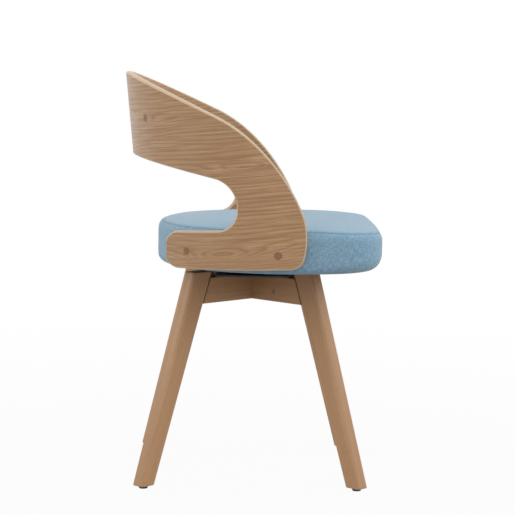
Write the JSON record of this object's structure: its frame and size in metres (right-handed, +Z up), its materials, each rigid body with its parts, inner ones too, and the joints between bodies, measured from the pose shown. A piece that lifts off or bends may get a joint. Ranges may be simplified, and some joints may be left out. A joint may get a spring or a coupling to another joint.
{
  "type": "swivel dining chair",
  "caption": "Swivel dining chair: bent plywood shell round a boxed fabric cushion, on a ball bearing swivel over four splayed wooden legs.",
  "frame": {"origin": "floor level under the swivel axis, which is the centre of the bounding box's bottom face", "axes": "+Z up along the swivel axis, +X towards the front of the seat, +Y to the sitter's left"},
  "size_m": [0.4759, 0.5182, 0.7461],
  "materials": {
    "beech": "satin",
    "zinc_steel": "satin",
    "black_nylon": "matte",
    "black_steel": "satin",
    "brass_insert": "satin",
    "bearing_steel": "polished",
    "board_ply": "matte",
    "frame_wood": "matte",
    "foam": "matte",
    "blue_linen": "matte",
    "black_lining": "matte",
    "oak_veneer": "satin",
    "oak_plug": "satin"
  },
  "bodies": {
    "base": {"leg_front_left": "beech", "leg_rear_left": "beech", "leg_rear_right": "beech", "leg_front_right": "beech", "rail_upper": "beech", "rail_lower": "beech", "leg_dowels": "beech", "glide_front_left": "black_nylon", "glide_rear_left": "black_nylon", "glide_rear_right": "black_nylon", "glide_front_right": "black_nylon", "glide_nails": "zinc_steel", "swivel_base_plate": "black_steel", "base_plate_bolts": "black_steel", "rail_inserts": "brass_insert", "pivot_rivet": "zinc_steel", "pivot_washer": "zinc_steel"},
    "bearing": {"ball_cage": "black_nylon", "bearing_balls": "bearing_steel"},
    "seat": {"swivel_top_plate": "black_steel", "top_plate_bolts": "black_steel", "seat_tee_nuts": "zinc_steel", "seat_board": "board_ply", "seat_frame": "frame_wood", "seat_foam": "foam", "seat_cover": "blue_linen", "dust_cover": "black_lining", "back_shell": "oak_veneer", "wing_plugs": "oak_plug", "wing_screws": "zinc_steel", "back_plugs": "oak_plug", "back_screws": "zinc_steel", "back_pad_board": "board_ply", "back_pad": "blue_linen"}
  },
  "joints": [
    {"name": "seat_swivel", "type": "hinge", "parent": "base", "child": "seat", "pos_m": [0, 0, 0.3848], "axis": [0, 0, 1], "continuous": true},
    {"name": "bearing_turn", "type": "hinge", "parent": "base", "child": "bearing", "pos_m": [0, 0, 0.3848], "axis": [0, 0, 1], "continuous": true}
  ],
  "couplings": [
    {"joint": "bearing_turn", "follows": "seat_swivel", "ratio": 0.5}
  ]
}
